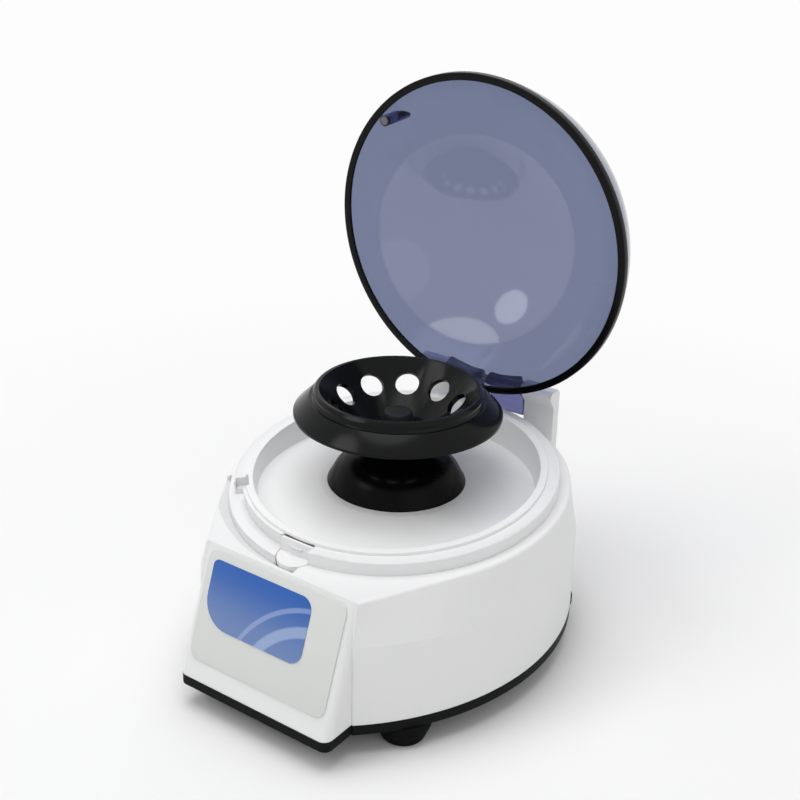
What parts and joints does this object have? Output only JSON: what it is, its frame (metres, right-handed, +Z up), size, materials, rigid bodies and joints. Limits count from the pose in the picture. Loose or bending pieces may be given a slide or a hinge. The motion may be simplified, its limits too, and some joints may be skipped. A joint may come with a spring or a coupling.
{
  "type": "mini centrifuge",
  "caption": "Small benchtop centrifuge with a round tilted chamber, a hinged tinted dome lid, a bored angle rotor on a spindle and a sloped front console.",
  "frame": {"origin": "on the rotor's axis, in the plane of the table under the feet", "axes": "+Z up along the rotor's axis, -Y to the sloped front console, +Y to the lid's hinge, +X to the right seen from the front"},
  "size_m": [0.162, 0.2245, 0.2642],
  "materials": {
    "upper_housing": "fine satin white moulding",
    "chamber_bowl": "smooth white moulding",
    "latch_button": "fine satin white moulding",
    "latch_guide": "plain white moulding",
    "latch_spring": "drawn spring wire",
    "lid_dome": "clear tinted blue-violet",
    "lid_trim": "black moulded edge band",
    "lid_magnet": "nickel plated",
    "lid_sensor": "black moulding",
    "hinge_pin": "ground pin",
    "rotor": "glossy black moulding",
    "rotor_nut": "glossy black moulding",
    "spindle": "ground shaft",
    "motor_can": "zinc plated can",
    "motor_end_cap": "black moulding",
    "motor_carrier": "stamped sheet",
    "motor_grommets": "soft rubber",
    "carrier_screws": "zinc plated",
    "motor_screws": "zinc plated",
    "motor_shroud": "glossy black moulding",
    "base_plate": "black textured moulding",
    "housing_screws": "zinc plated",
    "rubber_feet": "matt rubber",
    "foot_screws": "zinc plated",
    "control_board": "green lacquered laminate",
    "board_screws": "zinc plated",
    "capacitors": "sleeved cans",
    "speed_relay": "dark moulding",
    "board_plug": "cream moulding",
    "power_inlet": "black moulding with a metal centre pin",
    "switch_body": "black moulding",
    "switch_rocker": "polished black",
    "front_panel": "printed overlay film",
    "panel_window": "printed blue patch"
  },
  "bodies": {
    "housing": {"upper_housing": "upper_housing", "chamber_bowl": "chamber_bowl", "latch_guide": "latch_guide", "latch_spring": "latch_spring", "lid_sensor": "lid_sensor", "hinge_pin": "hinge_pin", "motor_can": "motor_can", "motor_end_cap": "motor_end_cap", "motor_carrier": "motor_carrier", "motor_grommets": "motor_grommets", "carrier_screws": "carrier_screws", "motor_screws": "motor_screws", "motor_shroud": "motor_shroud", "base_plate": "base_plate", "housing_screws": "housing_screws", "rubber_feet": "rubber_feet", "foot_screws": "foot_screws", "control_board": "control_board", "board_screws": "board_screws", "capacitors": "capacitors", "speed_relay": "speed_relay", "board_plug": "board_plug", "power_inlet": "power_inlet", "switch_body": "switch_body", "front_panel": "front_panel", "panel_window": "panel_window"},
    "lid": {"lid_dome": "lid_dome", "lid_trim": "lid_trim", "lid_magnet": "lid_magnet"},
    "rotor": {"rotor": "rotor", "rotor_nut": "rotor_nut", "spindle": "spindle"},
    "latch": {"latch_button": "latch_button"},
    "rocker": {"switch_rocker": "switch_rocker"}
  },
  "joints": [
    {"name": "lid_hinge", "type": "hinge", "parent": "housing", "child": "lid", "pos_m": [0, 0.07539, 0.10981], "axis": [1, 0, 0], "range_deg": [0, 92.73]},
    {"name": "rotor_spin", "type": "hinge", "parent": "housing", "child": "rotor", "pos_m": [0, 0, 0.11], "axis": [0, 0, 1], "continuous": true},
    {"name": "latch_press", "type": "slide", "parent": "housing", "child": "latch", "axis": [0, 0.1016, -0.9948], "range_m": [0, 0.002], "stiffness_N_per_m": 600, "deforming": ["latch_spring"]},
    {"name": "power_rocker", "type": "hinge", "parent": "housing", "child": "rocker", "pos_m": [0, 0.09505, 0.034], "axis": [1, 0, 0], "range_deg": [0, 16]}
  ]
}
